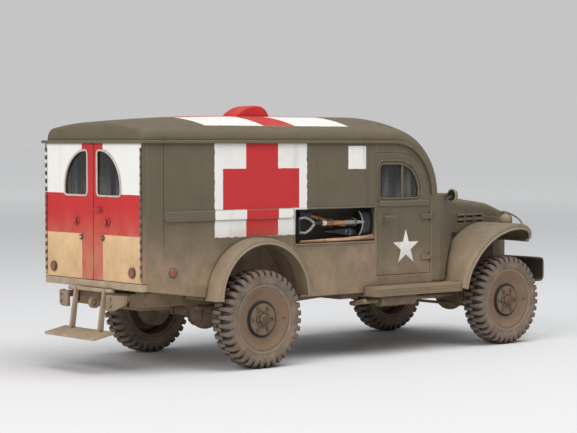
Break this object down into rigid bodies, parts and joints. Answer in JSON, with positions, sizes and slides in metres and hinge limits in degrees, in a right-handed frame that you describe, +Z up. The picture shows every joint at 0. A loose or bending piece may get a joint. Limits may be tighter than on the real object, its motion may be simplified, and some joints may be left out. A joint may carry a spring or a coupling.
{
  "type": "scale model military ambulance truck",
  "caption": "Small plastic model of a four-wheel-drive army ambulance: closed van body, rounded cab roof, sloping bonnet, flared fenders, tool recess and rolling lugged wheels.",
  "frame": {"origin": "on the ground, midway along the model and on its centre plane", "axes": "+X forward, +Y to the vehicle's left, +Z up"},
  "size_m": [0.1488, 0.054, 0.0659],
  "materials": {
    "olive_paint": "matt",
    "chassis_paint": "matt",
    "wheel_paint": "matt",
    "interior_paint": "matt",
    "red_paint": "matt",
    "tool_wood": "matt",
    "tyre_vinyl": "matt",
    "clear_panes": "glossy"
  },
  "bodies": {
    "truck_body": {"bonnet": "olive_paint", "bonnet_sides": "olive_paint", "cab_door_frames": "olive_paint", "cab_door_left": "olive_paint", "cab_door_right": "olive_paint", "cowl": "olive_paint", "dashboard": "interior_paint", "drip_rail": "olive_paint", "engine_block": "chassis_paint", "exhaust": "chassis_paint", "floor": "interior_paint", "frame_crossmembers": "chassis_paint", "frame_rails": "chassis_paint", "front_axle": "chassis_paint", "front_bumper": "chassis_paint", "front_fenders": "olive_paint", "fuel_tank": "chassis_paint", "grille": "olive_paint", "headlamps": "olive_paint", "lamp_guards": "olive_paint", "leaf_springs": "chassis_paint", "mirrors": "chassis_paint", "partition": "interior_paint", "pioneer_tools": "tool_wood", "propeller_shafts": "chassis_paint", "radiator": "chassis_paint", "rear_axle": "chassis_paint", "rear_bumpers": "chassis_paint", "rear_door_left": "olive_paint", "rear_door_right": "olive_paint", "rear_fenders": "olive_paint", "rear_sill": "olive_paint", "rear_step": "chassis_paint", "roof": "olive_paint", "roof_ventilator": "red_paint", "running_boards": "olive_paint", "seats": "interior_paint", "side_wall_left": "olive_paint", "side_wall_right": "olive_paint", "spare_tyre": "tyre_vinyl", "spare_wheel": "wheel_paint", "steering_knuckles": "chassis_paint", "steering_wheel": "interior_paint", "stretcher_benches": "interior_paint", "tool_locker": "olive_paint", "tow_fittings": "chassis_paint", "transfer_case": "chassis_paint", "window_panes": "clear_panes"},
    "front_right_wheel": {"tyre_front_right": "tyre_vinyl", "wheel_front_right": "wheel_paint"},
    "front_left_wheel": {"tyre_front_left": "tyre_vinyl", "wheel_front_left": "wheel_paint"},
    "rear_right_wheel": {"tyre_rear_right": "tyre_vinyl", "wheel_rear_right": "wheel_paint"},
    "rear_left_wheel": {"tyre_rear_left": "tyre_vinyl", "wheel_rear_left": "wheel_paint"}
  },
  "joints": [
    {"name": "front_right_roll", "type": "hinge", "parent": "truck_body", "child": "front_right_wheel", "pos_m": [0.0537, -0.0235, 0.01225], "axis": [0, 1, 0], "continuous": true},
    {"name": "front_left_roll", "type": "hinge", "parent": "truck_body", "child": "front_left_wheel", "pos_m": [0.0537, 0.0235, 0.01225], "axis": [0, 1, 0], "continuous": true},
    {"name": "rear_right_roll", "type": "hinge", "parent": "truck_body", "child": "rear_right_wheel", "pos_m": [-0.0341, -0.0235, 0.01225], "axis": [0, 1, 0], "continuous": true},
    {"name": "rear_left_roll", "type": "hinge", "parent": "truck_body", "child": "rear_left_wheel", "pos_m": [-0.0341, 0.0235, 0.01225], "axis": [0, 1, 0], "continuous": true}
  ]
}
